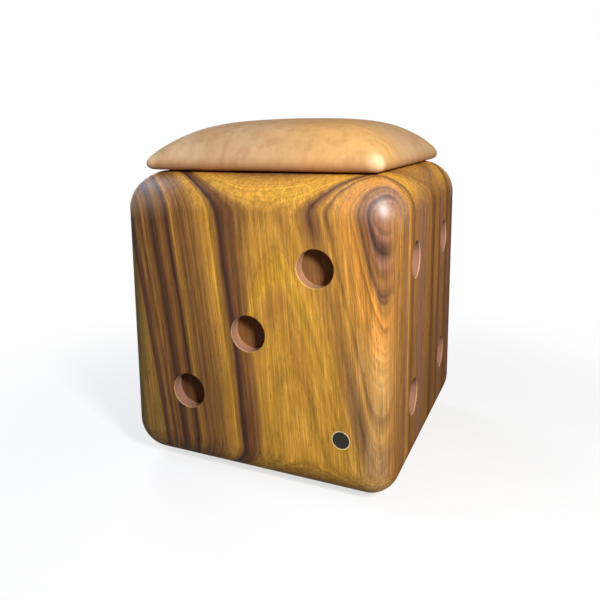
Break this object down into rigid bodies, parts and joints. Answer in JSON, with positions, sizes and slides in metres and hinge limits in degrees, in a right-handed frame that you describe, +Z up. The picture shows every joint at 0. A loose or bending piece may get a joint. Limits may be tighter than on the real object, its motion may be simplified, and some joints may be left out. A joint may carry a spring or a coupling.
{
  "type": "cube ottoman",
  "caption": "Solid timber cube stool bored with dice pips, hollow inside as a storage well, with a crowned leather seat that lifts off.",
  "frame": {"origin": "centre of the footprint, on the floor under the glides", "axes": "+Z up; the face with three pips looks along -Y; the face with four pips looks along +X"},
  "size_m": [0.4, 0.4, 0.499],
  "materials": {
    "timber": "satin lacquer",
    "inlay_ring": "brushed",
    "inlay_disc": "matt",
    "glide": "matt",
    "screw": "zinc plated",
    "plywood": "raw",
    "foam": "open cell",
    "batting": "fluffy",
    "leather": "smooth satin",
    "dust_cloth": "matt",
    "staple": "plain",
    "batten": "planed",
    "felt": "pressed felt"
  },
  "bodies": {
    "cube": {"cube_block": "timber", "medallion_ring": "inlay_ring", "medallion_disc": "inlay_disc", "floor_glide_front_left": "glide", "floor_glide_front_right": "glide", "floor_glide_back_left": "glide", "floor_glide_back_right": "glide", "glide_screws": "screw"},
    "seat": {"seat_board": "plywood", "seat_foam": "foam", "foam_wrap": "batting", "leather_cover": "leather", "dust_cover": "dust_cloth", "cover_staples": "staple", "batten_front": "batten", "batten_right": "batten", "batten_back": "batten", "batten_left": "batten", "batten_screws": "screw", "felt_strip_front": "felt", "felt_strip_right": "felt", "felt_strip_back": "felt", "felt_strip_left": "felt"}
  },
  "joints": [
    {"name": "seat_lift", "type": "slide", "parent": "cube", "child": "seat", "axis": [0, 0, 1], "range_m": [0, 0.3]}
  ]
}
